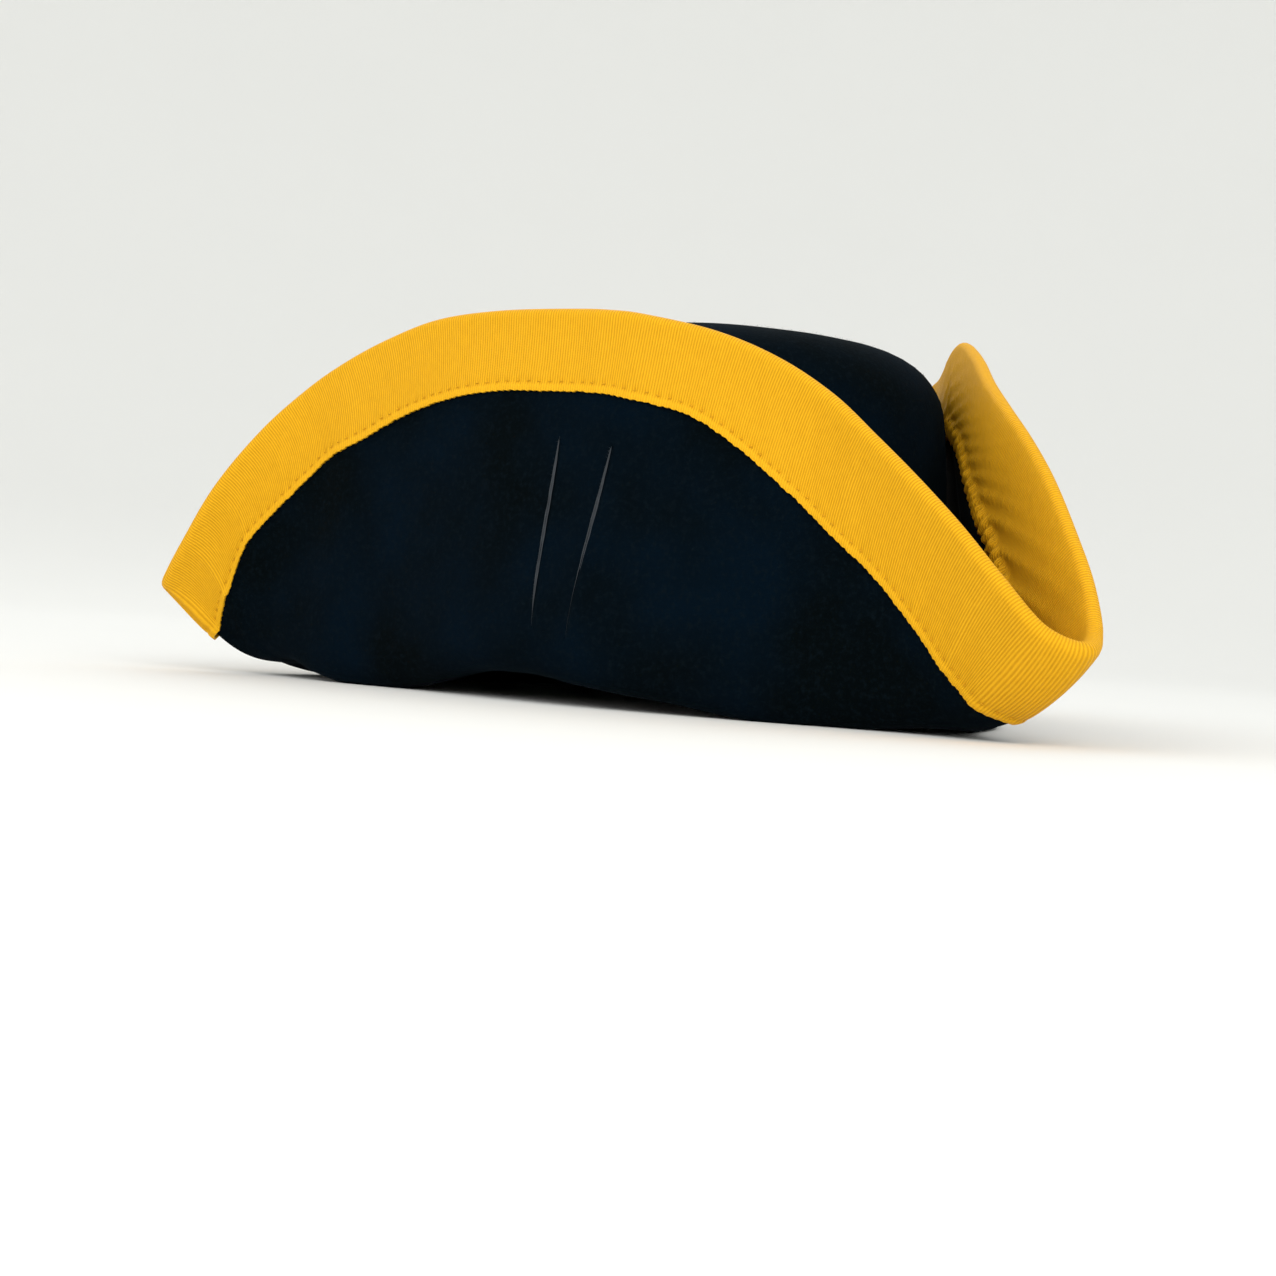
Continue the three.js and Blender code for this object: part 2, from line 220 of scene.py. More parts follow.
class FeltSettings(bpy.types.PropertyGroup):
    """Sizes and colours of the felt."""

    head_half_width: length("Head half width", "Head oval in the felt's middle, side to side", 0.082)
    head_half_length: length("Head half length", "Head oval in the felt's middle, front to back", 0.1)
    thickness: length("Felt thickness", "Thickness of the blocked felt", 0.0028)
    crown_height: length("Crown height", "Ground to the top of the crown", 0.134)
    crown_foot: length("Crown foot", "Height where the crown's wall turns out into the brim", 0.021)
    brim_width: length("Brim width", "Head line to edge, at the middle of a flap", 0.15)
    fold_height: length("Fold height", "Middle of the felt above the ground at a fold", 0.0009)
    fold_roundness: length("Fold roundness", "How far the felt runs on past a fold", 0.018)
    slit_width: length("Slit width", "Width of a slit at its widest", 0.0005)
    waver: length("Waver", "How far hand blocking leaves the felt from a smooth form", 0.0006)
    fibres: IntProperty(name="Fibres", description="Loose fibres on the felt", default=7000, min=0)
    black: colour("Black", "The dyed felt", (0.0006, 0.0018, 0.0023))
    cast: colour("Cast", "The navy cast of worn and lit felt", (0.0005, 0.0036, 0.0078))
    fibre_colour: colour("Fibre colour", "Loose fibres on the felt", (0.0025, 0.0055, 0.008))
    cut_colour: colour("Cut edge", "Raw edge of the felt in the slits", (0.055, 0.062, 0.07))


class RibbonSettings(bpy.types.PropertyGroup):
    """Sizes and colours of the ribbon."""

    half_width: length("Half width", "Half of the ribbon, which is folded over the edge", 0.038)
    thickness: length("Ribbon thickness", "Thickness of the grosgrain", 0.0008)
    gap: length("Gap", "Room between the ribbon and the felt", 0.0003)
    rib_pitch: length("Rib pitch", "Distance from one rib of the grosgrain to the next", 0.00098)
    selvedge: length("Selvedge", "Width of the woven border along the ribbon's edge", 0.0026)
    corner_fullness: length("Corner fullness", "How far the ribbon puffs out at a corner", 0.0006)
    stitch_pitch: length("Stitch pitch", "Distance from one stitch to the next", 0.0044)
    stitch_inset: length("Stitch inset", "How far the stitches lie from the ribbon's edge", 0.0031)
    thread: length("Thread", "Thickness of the sewing thread", 0.00042)
    yellow: colour("Yellow", "The ribs of the grosgrain", (0.79, 0.405, 0.012))
    # Painted shade: the darker colour that the ribbon material paints into the valleys between the ribs
    painted_valley_shade: colour("Shade", "The valleys between the ribs", (0.57, 0.265, 0.006))
    thread_colour: colour("Thread", "The sewing thread", (0.74, 0.37, 0.015))


class StudioSettings(bpy.types.PropertyGroup):
    """The floor, the lights and the camera."""

    azimuth: angle("Azimuth", "Camera's turn round the hat from the front", -32)
    elevation: angle("Elevation", "Camera's height angle over the hat", -3.5)
    roll: angle("Roll", "Camera's turn about its own axis", 3.8)
    distance: length("Distance", "Camera to the middle of the head", 0.75)
    aim_height: length("Aim height", "Height of the point that the camera is turned to", 0.074)
    focal_length: FloatProperty(name="Focal length", description="On a 36 mm frame", default=57.75)
    daylight: FloatProperty(name="Daylight", description="Soft light all round", default=1.1)
    grey: colour("Backdrop", "Floor and backdrop", (0.8, 0.805, 0.785))


# The form of the felt


def through_rows(table, position):
    """Smooth values through the rows of a table, at fractional row numbers."""
    index = np.floor(position).astype(int)
    share = (position - index)[:, None]
    a, b, c, d = (table[index + step] for step in (0, 1, 2, 3))
    slope_b, slope_c = (c - a) / 2, (d - b) / 2
    s2, s3 = share ** 2, share ** 3
    return (
        b * (2 * s3 - 3 * s2 + 1) + slope_b * (s3 - 2 * s2 + share)
        + c * (3 * s2 - 2 * s3) + slope_c * (s3 - s2)
    )


def between(table, turn):
    """Values between the rows of a table whose first column is the turn."""
    turns, *columns = zip(*table)
    return [np.interp(turn, turns, column) for column in columns]


def unit(vectors):
    return vectors / np.maximum(np.linalg.norm(vectors, axis=-1, keepdims=True), 1e-12)


def bezier(a, b, c, d, steps):
    t = np.linspace(0, 1, steps)[None, :, None]
    a, b, c, d = (point[:, None, :] for point in (a, b, c, d))
    return a * (1 - t) ** 3 + 3 * b * t * (1 - t) ** 2 + 3 * c * t ** 2 * (1 - t) + d * t ** 3


class HatForm:
    """The middle surface of the felt: sections round the hat, each a curve from edge to crown."""

    def __init__(self, felt):
        self.felt = felt
        self.last = len(BRIM_SECTIONS) - 1
        self.period = 2 * self.last
        self.rows = np.array([self.row(index) for index in range(-1, self.period + 3)])
        self.middle = self.head_middle()

    def row(self, index):
        wrapped = index % self.period
        mirrored = wrapped > self.last
        values = list(BRIM_SECTIONS[self.period - wrapped if mirrored else wrapped])
        if mirrored:
            values[TURN] = 360 - values[TURN]
            values[FOLD_ACROSS] *= -1
            values[RIM_ACROSS] *= -1
            lower, fold_higher, less_ribbon = between(RIGHT_FLAP, 360 - values[TURN])
            values[RIM_UP] -= lower
            values[FOLD_UP] += fold_higher
            values[LEAF] -= less_ribbon
        else:
            higher, inward, more_lean = between(LEFT_FLAP, values[TURN])
            values[RIM_UP] += higher
            values[RIM_ACROSS] -= inward
            values[LEAN] += more_lean
        values[TURN] += 360 * (index // self.period)
        return values

    def head_middle(self):
        """Where the middle of the head lies in the frame: the felt fills the box of its CAD node."""
        grid = self.felt_grid(np.arange(0, self.period, 0.5))
        both = np.stack(self.skins(grid, grid_normals(grid)))
        own = (both.min(axis=(0, 1, 2)) + both.max(axis=(0, 1, 2))) / 2
        low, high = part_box("felt_body")
        shift = (np.array(low) + np.array(high)) / 2 - own
        return np.array([shift[0], shift[1], 0.0])

    def skins(self, grid, normals):
        """Both faces of the felt, pressed flat where they would sink below the ground."""
        half = self.felt.thickness / 2
        faces = [grid + normals * half, grid - normals * half]
        for face in faces:
            face[:, :, 2] = np.maximum(face[:, :, 2], 0)
        return faces

    def sections(self, position):
        return through_rows(self.rows, position % self.period)

    def head_point(self, turn):
        angle = np.radians(turn)
        return np.stack([
            self.felt.head_half_width * np.sin(angle),
            -self.felt.head_half_length * np.cos(angle),
            np.zeros_like(angle),
        ], axis=-1)

    def rim(self, position):
        rows = self.sections(position)
        place = rows[:, [RIM_ACROSS, RIM_BACK, RIM_UP]] * self.felt.brim_width
        return self.head_point(rows[:, TURN]) + place

    def even_positions(self, count):
        """Row numbers that share the edge of the brim out evenly, and the edge's length."""
        fine = np.linspace(0, self.period, 6001)
        steps = np.linalg.norm(np.diff(self.rim(fine), axis=0), axis=1)
        run = np.concatenate([[0], np.cumsum(steps)])
        return np.interp(np.arange(count) / count * run[-1], run, fine), run[-1]

    def curves(self, position):
        """Fine points of each section from the edge to the crown's foot, with their run."""
        felt = self.felt
        rows = self.sections(position)
        oval = self.head_point(rows[:, TURN])
        up = np.array([0.0, 0.0, 1.0])
        foot = oval + up * felt.crown_foot
        fold = oval.copy()
        fold[:, :2] += rows[:, [FOLD_ACROSS, FOLD_BACK]] * felt.brim_width
        fold[:, 2] = felt.fold_height + rows[:, FOLD_UP] * felt.brim_width
        rim = self.rim(position)
        outward = fold - foot
        outward[:, 2] = 0
        reach = np.linalg.norm(outward, axis=1, keepdims=True)
        outward = unit(outward)
        foot_handle = oval + up * felt.crown_foot * 0.45
        fold_inner = fold - outward * reach * 0.5
        fold_outer = fold + outward * felt.fold_roundness
        along = unit(self.rim(position + 0.02) - self.rim(position - 0.02))
        facing = unit(np.stack([along[:, 1], -along[:, 0], np.zeros(len(along))], axis=-1))
        lean = np.radians(rows[:, LEAN])[:, None]
        rise = up * np.cos(lean) + facing * np.sin(lean)
        rise = unit(rise - along * np.sum(rise * along, axis=1, keepdims=True))
        rim_handle = rim - rise * 0.38 * np.linalg.norm(fold - rim, axis=1, keepdims=True)
        flap = bezier(rim, rim_handle, fold_outer, fold, CURVE_STEPS)
        floor = bezier(fold, fold_inner, foot_handle, foot, CURVE_STEPS)
        points = np.concatenate([flap, floor[:, 1:]], axis=1)
        steps = np.linalg.norm(np.diff(points, axis=1), axis=2)
        run = np.concatenate([np.zeros((len(points), 1)), np.cumsum(steps, axis=1)], axis=1)
        return points, run, run[:, CURVE_STEPS - 1], rows

    def along_sections(self, points, run, distances):
        placed = np.empty(distances.shape + (3,))
        for station in range(len(points)):
            for axis in range(3):
                placed[station, :, axis] = np.interp(
                    distances[station], run[station], points[station, :, axis]
                )
        return placed

    def crown(self, turn, rings):
        """Rings of the crown from just above its foot to the pole."""
        table = np.array(CROWN_SECTIONS, float)
        first, last = 2 * table[0] - table[1], np.array([table[-1][0], -table[-2][1]])
        table = np.concatenate([[first], table, [last]])
        steps = np.linspace(0, len(CROWN_SECTIONS) - 1.0001, rings + 1)[1:]
        values = through_rows(table, steps)
        values[-1] = (1, 0)
        top = self.felt.crown_height - self.felt.thickness / 2
        height = self.felt.crown_foot + (top - self.felt.crown_foot) * values[:, 0]
        oval = self.head_point(turn)[:, None, :] * values[None, :, 1:2]
        oval[:, :, 2] = height[None, :]
        return oval

    def felt_grid(self, position):
        """Points of the whole felt, a row for each section, from the edge to the crown's pole."""
        points, run, to_fold, rows = self.curves(position)
        total = run[:, -1]
        flap = np.linspace(0, 1, FLAP_RINGS + 1)[None, :] * to_fold[:, None]
        floor_shares = np.linspace(0, 1, FLOOR_RINGS + 1)[None, 1:]
        floor = to_fold[:, None] + floor_shares * (total - to_fold)[:, None]
        brim = self.along_sections(points, run, np.concatenate([flap, floor], axis=1))
        return np.concatenate([brim, self.crown(rows[:, TURN], CROWN_RINGS)], axis=1)

    def leaf_grid(self, position, half_width):
        """Points under the ribbon, from the edge of the brim to the ribbon's edge."""
        points, run, _, rows = self.curves(position)
        distances = LEAF_SHARES[None, :] * half_width * rows[:, LEAF:LEAF + 1]
        return self.along_sections(points, run, distances)


def grid_normals(grid):
    """Normals that point out of the crown and, on the flaps, towards the crown."""
    around = np.roll(grid, -1, axis=0) - np.roll(grid, 1, axis=0)
    inward = np.gradient(grid, axis=1)
    return unit(np.cross(around, inward))


def felt_surface(felt):
    """The hat's form, with points of the felt's middle surface and their normals."""
    form = HatForm(felt)
    position, _ = form.even_positions(FELT_STATIONS)
    grid = form.felt_grid(position)
    return form, grid, grid_normals(grid)


def from_front(turn):
    """Degrees from the front corner, alike to the left and to the right."""
    return np.minimum(turn % 360, 360 - turn % 360)


# Making pieces


def piece_from(name, form, smooth=True):
    mesh = bpy.data.meshes.new(name)
    for face in form.faces:
        face.smooth = smooth
    form.to_mesh(mesh)
    form.free()
    piece = bpy.data.objects.new(name, mesh)
    bpy.context.scene.collection.objects.link(piece)
    return piece


def woven_grid(name, placed, attributes=None):
    """A grid of faces, closed round the hat, with each vertex moved to its place."""
    around, across = placed.shape[0], placed.shape[1] - 1
    form = bmesh.new()
    form.loops.layers.uv.new("UVMap")
    bmesh.ops.create_grid(form, x_segments=around, y_segments=across, size=0.5, calc_uvs=True)
    layers = {key: form.verts.layers.float.new(key) for key in (attributes or {})}
    for vert in form.verts:
        station = round((vert.co.x + 0.5) * around) % around
        ring = round((vert.co.y + 0.5) * across)
        vert.co = placed[station, ring]
        for key, layer in layers.items():
            vert[layer] = attributes[key][station, ring]
    bmesh.ops.remove_doubles(form, verts=form.verts, dist=1e-6)
    bmesh.ops.recalc_face_normals(form, faces=form.faces)
    return piece_from(name, form)


def apply_modifiers(piece):
    """Keep what the modifiers make as the piece's own mesh."""
    graph = bpy.context.evaluated_depsgraph_get()
    made = bpy.data.meshes.new_from_object(piece.evaluated_get(graph))
    piece.modifiers.clear()
    old = piece.data
    piece.data = made
    bpy.data.meshes.remove(old)


def finish_piece(piece, material, slot, *nodes):
    piece.data.materials.clear()
    piece.data.materials.append(material)
    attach(piece, "root")
    if nodes:
        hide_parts(*nodes)


def move_batch(parts, batch):
    """Add a small batch of shapes to the rest: the mesh operators are quick on small meshes."""
    mesh = bpy.data.meshes.new("batch")
    batch.to_mesh(mesh)
    parts.from_mesh(mesh)
    bpy.data.meshes.remove(mesh)
    batch.clear()


def add_many(parts, count, add_one):
    """Make count shapes, a batch at a time."""
    batch = bmesh.new()
    for index in range(count):
        add_one(batch, index)
        if index % BATCH == BATCH - 1:
            move_batch(parts, batch)
    move_batch(parts, batch)
    batch.free()


# Materials


def new_material(name):
    """A material with its nodes and links, its shader, and the place on the piece."""
    material = bpy.data.materials.new(name)
    material.use_nodes = True
    nodes, links = material.node_tree.nodes, material.node_tree.links
    place = nodes.new("ShaderNodeTexCoord").outputs["Object"]
    return material, nodes, links, nodes["Principled BSDF"], place


def set_inputs(node, values):
    for name, value in values.items():
        node.inputs[name].default_value = value


def math_node(nodes, links, operation, first, second=None, third=None):
    node = nodes.new("ShaderNodeMath")
    node.operation = operation
    for socket, value in zip(node.inputs, (first, second, third)):
        if value is None:
            continue
        if isinstance(value, (int, float)):
            socket.default_value = value
        else:
            links.new(value, socket)
    return node.outputs[0]


def mix_colours(nodes, links, factor, first, second):
    node = nodes.new("ShaderNodeMix")
    node.data_type = "RGBA"
    links.new(factor, node.inputs["Factor"])
    for socket, value in ((node.inputs["A"], first), (node.inputs["B"], second)):
        if hasattr(value, "links"):
            links.new(value, socket)
        else:
            socket.default_value = (*value, 1)
    return node.outputs["Result"]


def noise_node(nodes, links, place, scale, detail, roughness=0.5):
    node = nodes.new("ShaderNodeTexNoise")
    set_inputs(node, {"Scale": scale, "Detail": detail, "Roughness": roughness})
    links.new(place, node.inputs["Vector"])
    return node.outputs["Fac"]


def ramp(nodes, links, factor, low, high):
    node = nodes.new("ShaderNodeMapRange")
    set_inputs(node, {"From Min": low, "From Max": high})
    links.new(factor, node.inputs["Value"])
    return node.outputs["Result"]


def bump_node(nodes, links, height, distance, strength, under=None):
    node = nodes.new("ShaderNodeBump")
    set_inputs(node, {"Distance": distance, "Strength": strength})
    links.new(height, node.inputs["Height"])
    if under is not None:
        links.new(under, node.inputs["Normal"])
    return node.outputs["Normal"]


def felt_material(felt):
    """Matt wool felt: matted fibres, a soft nap, cloudy navy cast and a few pale specks."""
    material, nodes, links, shader, place = new_material("black wool felt")
    clouds = ramp(nodes, links, noise_node(nodes, links, place, 22, 3), 0.38, 0.66)
    nap = noise_node(nodes, links, place, 620, 4, 0.65)
    mat = noise_node(nodes, links, place, 1700, 3, 0.7)
    tone = mix_colours(nodes, links, clouds, felt.black, felt.cast)
    lifted = mix_colours(nodes, links, ramp(nodes, links, nap, 0.5, 0.78), tone, felt.fibre_colour)
    specks = nodes.new("ShaderNodeTexVoronoi")
    set_inputs(specks, {"Scale": 95})
    links.new(place, specks.inputs["Vector"])
    near = math_node(nodes, links, "LESS_THAN", specks.outputs["Distance"], 0.055)
    chosen = nodes.new("ShaderNodeSeparateColor")
    links.new(specks.outputs["Color"], chosen.inputs["Color"])
    rare = math_node(nodes, links, "GREATER_THAN", chosen.outputs["Red"], 0.93)
    speck = math_node(nodes, links, "MULTIPLY", near, rare)
    speckled = mix_colours(nodes, links, speck, lifted, (0.05, 0.065, 0.08))
    links.new(speckled, shader.inputs["Base Color"])
    fine = bump_node(nodes, links, mat, 0.00012, 0.55)
    coarse = bump_node(nodes, links, nap, 0.0003, 0.6, fine)
    links.new(coarse, shader.inputs["Normal"])
    set_inputs(shader, {
        "Roughness": 0.96,
        "Specular IOR Level": 0.025,
        "Sheen Weight": 0.006,
        "Sheen Roughness": 0.5,
        "Sheen Tint": (0.3, 0.7, 1, 1),
    })
    return material


def plain_fibre_material(name, tint):
    """Loose wool, a little uneven in colour."""
    material, nodes, links, shader, place = new_material(name)
    patches = noise_node(nodes, links, place, 240, 3)
    dark = tuple(channel * 0.5 for channel in tint)
    links.new(mix_colours(nodes, links, patches, dark, tint), shader.inputs["Base Color"])
    links.new(
        bump_node(nodes, links, noise_node(nodes, links, place, 2600, 2), 0.0001, 0.5),
        shader.inputs["Normal"],
    )
    set_inputs(shader, {"Roughness": 0.95, "Specular IOR Level": 0.05})
    return material


def ribbon_material(ribbon, ribs):
    """Grosgrain: ribs from edge to edge of the ribbon, crossed by fine warp threads, with painted shade in
    the valleys between the ribs.
    """
    material, nodes, links, shader, place = new_material("golden yellow grosgrain")
    along = nodes.new("ShaderNodeSeparateXYZ")
    uv = nodes.new("ShaderNodeUVMap")
    uv.uv_map = "UVMap"
    links.new(uv.outputs["UV"], along.inputs["Vector"])
    wander = noise_node(nodes, links, place, 130, 2)
    turns = math_node(
        nodes, links, "MULTIPLY_ADD", along.outputs["X"], ribs * 2 * math.pi,
        math_node(nodes, links, "MULTIPLY", wander, 1.6),
    )
    wave = math_node(nodes, links, "SINE", turns)
    rib = math_node(nodes, links, "MULTIPLY_ADD", wave, 0.5, 0.5)
    hem = nodes.new("ShaderNodeAttribute")
    hem.attribute_name = "from_hem"
    warp = math_node(
        nodes, links, "SINE",
        math_node(nodes, links, "MULTIPLY", hem.outputs["Fac"], 2 * math.pi / 0.55),
    )
    warp = math_node(nodes, links, "MULTIPLY_ADD", warp, 0.5, 0.5)
    woven = math_node(nodes, links, "MULTIPLY_ADD", warp, 0.22, rib)
    slub = noise_node(nodes, links, place, 420, 3)
    # Painted shade: the valleys between the ribs are coloured darker, and the slub varies this at random
    body = mix_colours(
        nodes, links,
        ramp(nodes, links, math_node(nodes, links, "MULTIPLY_ADD", slub, 0.5, rib), 0.2, 1.15),
        ribbon.painted_valley_shade, ribbon.yellow,
    )
    selvedge = ribbon.selvedge / MILLIMETRE
    border = ramp(nodes, links, hem.outputs["Fac"], selvedge, selvedge - 0.7)
    bright = tuple(min(1, channel * 1.12) for channel in ribbon.yellow)
    toned = mix_colours(nodes, links, math_node(nodes, links, "MULTIPLY", border, 0.45), body, bright)
    fade = ramp(nodes, links, noise_node(nodes, links, place, 14, 3), 0.3, 0.75)
    worn = mix_colours(
        nodes, links, math_node(nodes, links, "MULTIPLY", fade, 0.16), toned,
        tuple(channel * 0.72 for channel in ribbon.yellow),
    )
    links.new(worn, shader.inputs["Base Color"])
    links.new(
        bump_node(
            nodes, links, woven, 0.00022, 0.75,
            bump_node(nodes, links, slub, 0.00012, 0.5),
        ),
        shader.inputs["Normal"],
    )
    set_inputs(shader, {
        "Roughness": 0.6,
        "Specular IOR Level": 0.12,
        "Specular Tint": (1, 0.8, 0.35, 1),
        "Sheen Weight": 0.04,
        "Sheen Roughness": 0.4,
        "Sheen Tint": (1, 0.75, 0.2, 1),
    })
    return material


def thread_material(ribbon):
    """Twisted sewing thread."""
    material, nodes, links, shader, place = new_material("yellow sewing thread")
    strands = noise_node(nodes, links, place, 1500, 2)
    dark = tuple(channel * 0.6 for channel in ribbon.thread_colour)
    twist = mix_colours(nodes, links, strands, dark, ribbon.thread_colour)
    links.new(twist, shader.inputs["Base Color"])
    set_inputs(shader, {"Roughness": 0.6, "Specular IOR Level": 0.05})
    return material


def backdrop_material(studio):
    """Pale studio paper, hardly uneven in tone."""
    material, nodes, links, shader, place = new_material("studio paper")
    tint = tuple(studio.grey)
    soft = tuple(channel * 0.985 for channel in tint)
    clouds = noise_node(nodes, links, place, 3, 2)
    links.new(mix_colours(nodes, links, clouds, soft, tint), shader.inputs["Base Color"])
    set_inputs(shader, {"Roughness": 0.9, "Specular IOR Level": 0.1})
    return material


# Operators


class TRICORN_OT_felt(bpy.types.Operator):
    """Blocked felt: the crown and the brim, with two slits cut through the right flap"""

    bl_idname = "tricorn.felt"
    bl_label = "Felt"
    bl_options = {"REGISTER", "UNDO"}

    def execute(self, context):
        felt = context.scene.tricorn_felt
        form, grid, normals = felt_surface(felt)
        normals[:, -1] = (0, 0, 1)
        # The waver grows from nothing at the ground to full at this height
        full_height = 0.02
        spread = 0.035
        waver = felt.waver * np.clip(grid[:, :, 2] / full_height, 0, 1)
        for station in range(grid.shape[0]):
            for ring in range(grid.shape[1]):
                here = Vector(grid[station, ring]) / spread
                depth = 0 if ring == grid.shape[1] - 1 else waver[station, ring]
                grid[station, ring] += normals[station, ring] * noise.noise(here) * depth
        outer, inner = form.skins(grid, normals)
        placed = np.concatenate([outer[:, ::-1], inner], axis=1) + form.middle
        piece = woven_grid("felt_hat", placed)
        for index, slit in enumerate(SLITS):
            cutter = slit_cutter(form, slit, f"slit_cutter_{index}")
            cut = piece.modifiers.new("slit", "BOOLEAN")
            cut.operation = "DIFFERENCE"
            cut.solver = "EXACT"
            cut.object = cutter
            apply_modifiers(piece)
            bpy.data.objects.remove(cutter)
        finish_piece(piece, felt_material(felt), "felt", "felt_body")
        return {"FINISHED"}


def slit_cutter(cut_form, slit, name):
    """A thin wedge across the right flap, pointed at both ends."""
    felt = cut_form.felt
    top_back, top_up, foot_back, foot_up, _ = slit
    top = Vector((0, top_back * felt.head_half_length, top_up * felt.brim_width))
    foot = Vector((0, foot_back * felt.head_half_length, foot_up * felt.brim_width))
    along = top - foot
    form = bmesh.new()
    bmesh.ops.create_circle(form, cap_ends=True, segments=16, radius=0.5)
    bmesh.ops.scale(form, vec=(felt.slit_width, along.length, 1), verts=form.verts)
    made = bmesh.ops.extrude_face_region(form, geom=form.faces[:])
    raised = [item for item in made["geom"] if isinstance(item, bmesh.types.BMVert)]
    reach = felt.head_half_width * 0.6
    bmesh.ops.translate(form, vec=(0, 0, reach), verts=raised)
    # The circle's own axes: across the slit, along it, and through the flap
    lengthwise = along.normalized()
    through = Vector((-1, 0, 0))
    across = lengthwise.cross(through)
    turn = Matrix((across, lengthwise, through)).transposed().to_4x4()
    # The wedge starts between the crown and the flap
    middle = (top + foot) / 2
    middle.x = -felt.head_half_width * 0.89
    middle += Vector(cut_form.middle)
    bmesh.ops.transform(form, matrix=Matrix.Translation(middle) @ turn, verts=form.verts)
    bmesh.ops.recalc_face_normals(form, faces=form.faces)
    return piece_from(name, form, smooth=False)


class TRICORN_OT_slit_lips(bpy.types.Operator):
    """Raw, fluffy lips along both edges of each slit"""

    bl_idname = "tricorn.slit_lips"
    bl_label = "Slit lips"
    bl_options = {"REGISTER", "UNDO"}

    def execute(self, context):
        felt = context.scene.tricorn_felt
        surface = flap_surface(felt)
        around, along = 10, 60
        lip_radius = 0.00036
        chance = random.Random(11)
        parts = bmesh.new()
        for top_back, top_up, foot_back, foot_up, full in SLITS:
            for side in (-1, 1):
                bmesh.ops.create_grid(parts, x_segments=along, y_segments=around, size=0.5)
                new = [vert for vert in parts.verts if not vert.tag]
                for vert in new:
                    share = vert.co.x + 0.5
                    turn = (vert.co.y + 0.5) * 2 * math.pi
                    body = math.sin(math.pi * min(max(share, 0), 1)) ** 0.4 * (1 - 0.45 * share)
                    fade = 1 if share < full else max(0.15, 1 - (share - full) / (1 - full) * 1.4)
                    radius = lip_radius * body * fade + 1e-7
                    place = Vector((share * 17, side * 3 + math.cos(turn) * 0.4, top_back * 9))
                    radius *= 1 + 0.4 * noise.noise(place)
                    back = (top_back + (foot_back - top_back) * share) * felt.head_half_length
                    height = (top_up + (foot_up - top_up) * share) * felt.brim_width
                    back += side * felt.slit_width * 0.5 * math.sin(math.pi * share) + side * radius * 0.2
                    point, normal = surface(back, height)
                    across = Vector((0, 1, 0)).cross(normal).cross(normal) * -1
                    point += across.normalized() * math.cos(turn) * radius
                    vert.co = point + normal * math.sin(turn) * radius
                    vert.tag = True
        bmesh.ops.remove_doubles(parts, verts=parts.verts, dist=1e-7)
        hairs(parts, chance, felt, surface)
        bmesh.ops.recalc_face_normals(parts, faces=parts.faces)
        piece = piece_from("slit_lips", parts)
        finish_piece(piece, plain_fibre_material("raw felt edge", tuple(felt.cut_colour)), "felt")
        return {"FINISHED"}


def hairs(parts, chance, felt, surface):
    """Short fibres that stand out of the cut edges."""

    def add_hair(batch, index):
        top_back, top_up, foot_back, foot_up, full = SLITS[index % len(SLITS)]
        share = chance.random() * (0.25 + 0.75 * full)
        side = chance.choice((-1, 1))
        back = (top_back + (foot_back - top_back) * share) * felt.head_half_length
        height = (top_up + (foot_up - top_up) * share) * felt.brim_width
        back += side * felt.slit_width * 0.5 * math.sin(math.pi * share)
        point, normal = surface(back, height)
        loose = Vector((0, -side * chance.uniform(0.1, 1), chance.uniform(-0.8, 0.8)))
        aim = (normal * chance.uniform(0.2, 0.9) + loose).normalized()
        add_fibre(batch, point, aim, chance.uniform(0.0006, 0.0016), HAIR_RADIUS)

    add_many(parts, SLIT_HAIRS, add_hair)


def add_fibre(parts, root, aim, reach, radius):
    turn = aim.to_track_quat("Z", "Y").to_matrix().to_4x4()
    place = Matrix.Translation(root + aim * reach / 2) @ turn
    bmesh.ops.create_cone(
        parts, cap_ends=True, segments=3, radius1=radius, radius2=0, depth=reach, matrix=place
    )


def flap_surface(felt):
    """A look-up of the right flap's outer face by how far back and how high a place is."""
    form, grid, normals = felt_surface(felt)
    # The rings of the right flap, without its edge and its fold
    keep = np.zeros(grid.shape[:2], bool)
    keep[:, 2:FLAP_RINGS - 2] = True
    keep &= (grid[:, :, 0] < -0.05) & (np.abs(grid[:, :, 1]) < felt.head_half_length)
    points = (grid - normals * felt.thickness / 2)[keep]
    facing = -normals[keep]
    reach = 3 * MILLIMETRE

    def at(back, height):
        far = (points[:, 1] - back) ** 2 + (points[:, 2] - height) ** 2
        weight = np.exp(-far / reach ** 2)
        weight /= weight.sum()
        point = Vector((float(points[:, 0] @ weight), back, height)) + Vector(form.middle)
        return point, Vector(weight @ facing).normalized()

    return at


